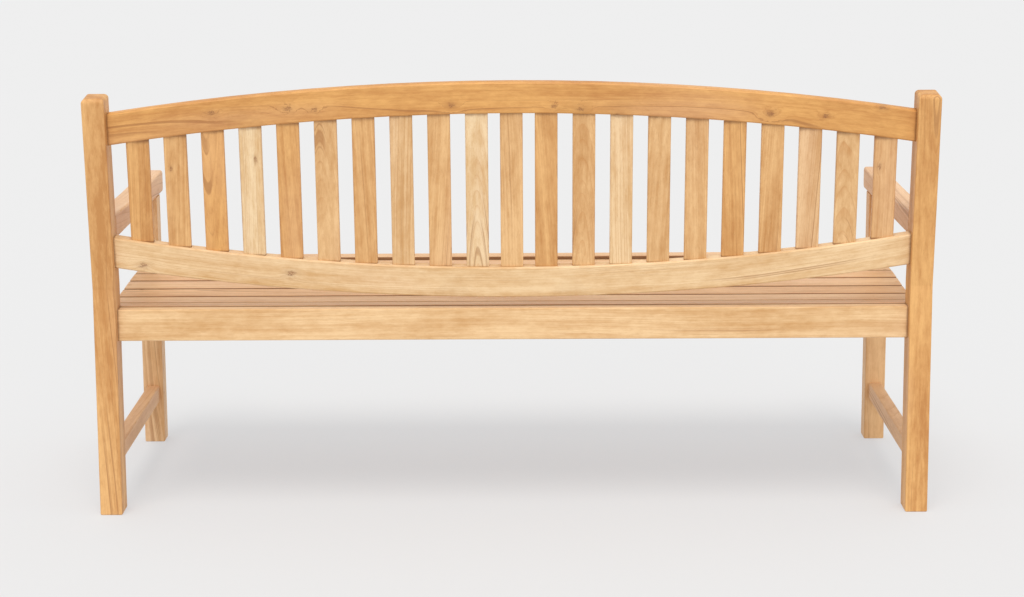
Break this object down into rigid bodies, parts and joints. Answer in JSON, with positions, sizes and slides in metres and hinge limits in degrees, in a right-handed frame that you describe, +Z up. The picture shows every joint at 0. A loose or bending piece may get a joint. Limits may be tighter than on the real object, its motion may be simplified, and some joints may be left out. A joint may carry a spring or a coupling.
{
  "type": "garden bench",
  "caption": "Slatted wooden garden bench with an arched back, dished seat, flat armrests and straight legs, for people to sit on side by side outdoors.",
  "frame": {"origin": "on the ground, in the middle of the bench's width and depth", "axes": "+X to the sitter's left, along the bench; +Y to the rear, away from the way the sitter faces; +Z up"},
  "size_m": [1.8, 0.7028, 0.9487],
  "materials": {
    "teak_frame": "bare sanded teak, satin",
    "teak_rails": "bare sanded teak, satin",
    "teak_back_slats": "bare sanded teak, satin",
    "teak_seat_slats": "bare sanded teak, satin",
    "teak_pegs": "bare sanded teak end grain",
    "screw_steel": "plain stainless steel"
  },
  "bodies": {
    "root": {"armrest_left": "teak_frame", "armrest_right": "teak_frame", "back_slat_01": "teak_back_slats", "back_slat_02": "teak_back_slats", "back_slat_03": "teak_back_slats", "back_slat_04": "teak_back_slats", "back_slat_05": "teak_back_slats", "back_slat_06": "teak_back_slats", "back_slat_07": "teak_back_slats", "back_slat_08": "teak_back_slats", "back_slat_09": "teak_back_slats", "back_slat_10": "teak_back_slats", "back_slat_11": "teak_back_slats", "back_slat_12": "teak_back_slats", "back_slat_13": "teak_back_slats", "back_slat_14": "teak_back_slats", "back_slat_15": "teak_back_slats", "back_slat_16": "teak_back_slats", "back_slat_17": "teak_back_slats", "back_slat_18": "teak_back_slats", "back_slat_19": "teak_back_slats", "back_slat_20": "teak_back_slats", "back_slat_21": "teak_back_slats", "front_leg_left": "teak_frame", "front_leg_right": "teak_frame", "front_seat_rail": "teak_rails", "lower_back_rail": "teak_rails", "rear_post_left": "teak_frame", "rear_post_right": "teak_frame", "rear_seat_rail": "teak_rails", "seat_bearer": "teak_rails", "seat_plugs": "teak_pegs", "seat_screws": "screw_steel", "seat_slat_1": "teak_seat_slats", "seat_slat_2": "teak_seat_slats", "seat_slat_3": "teak_seat_slats", "seat_slat_4": "teak_seat_slats", "seat_slat_5": "teak_seat_slats", "seat_slat_6": "teak_seat_slats", "seat_slat_7": "teak_seat_slats", "seat_slat_8": "teak_seat_slats", "side_seat_rail_left": "teak_rails", "side_seat_rail_right": "teak_rails", "side_stretcher_left": "teak_frame", "side_stretcher_right": "teak_frame", "tenon_pegs": "teak_pegs", "top_rail": "teak_rails"}
  },
  "joints": []
}
